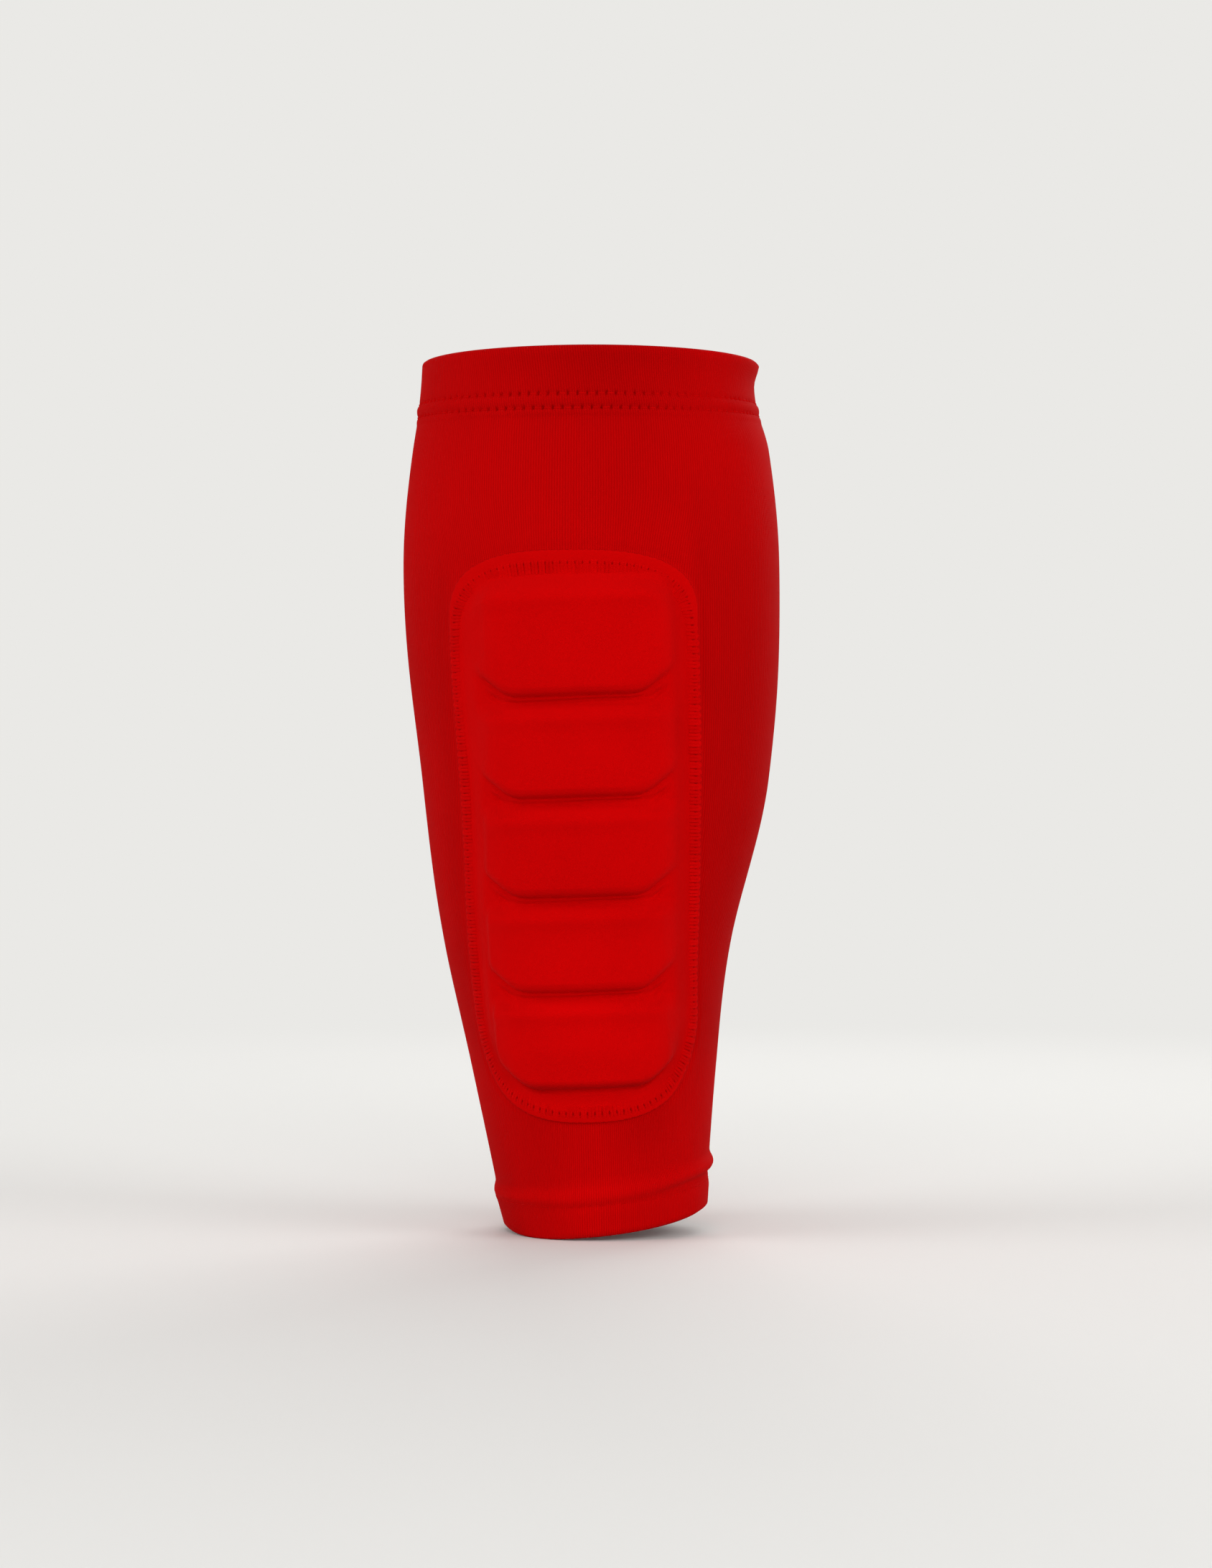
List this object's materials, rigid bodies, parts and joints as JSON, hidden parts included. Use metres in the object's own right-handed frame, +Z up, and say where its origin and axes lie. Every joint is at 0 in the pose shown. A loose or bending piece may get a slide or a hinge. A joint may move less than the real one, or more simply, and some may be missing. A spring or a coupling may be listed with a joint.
{
  "type": "padded calf sleeve",
  "caption": "Pull-on knitted compression sleeve for the lower leg, with a raised foam pad in cross bars sewn into a window over the shin.",
  "frame": {"origin": "middle of the lower opening, on the leg axis", "axes": "+Z up the leg, -Y the way the pad faces, +X to the right of someone looking at the pad"},
  "size_m": [0.1311, 0.1351, 0.3008],
  "materials": {
    "knit": "matt stretch knit with fine upright ribs",
    "pad_cloth": "matt smooth stretch cloth",
    "lining": "matt thin knit",
    "elastic": "matt woven elastic tape",
    "foam": "matt closed-cell foam",
    "thread": "soft textured sewing thread"
  },
  "bodies": {
    "root": {"sleeve_body": "knit", "hem_elastic": "elastic", "pad_lining": "lining", "foam_sheet": "foam", "foam_bar_1": "foam", "foam_bar_2": "foam", "foam_bar_3": "foam", "foam_bar_4": "foam", "foam_bar_5": "foam", "pad_cover": "pad_cloth", "pad_seam_thread": "thread", "pad_seam_looper": "thread", "back_seam_thread": "thread", "back_seam_looper": "thread", "top_hem_thread_upper": "thread", "top_hem_thread_lower": "thread", "top_hem_looper": "thread", "bottom_hem_thread": "thread", "bottom_hem_looper": "thread"}
  },
  "joints": []
}
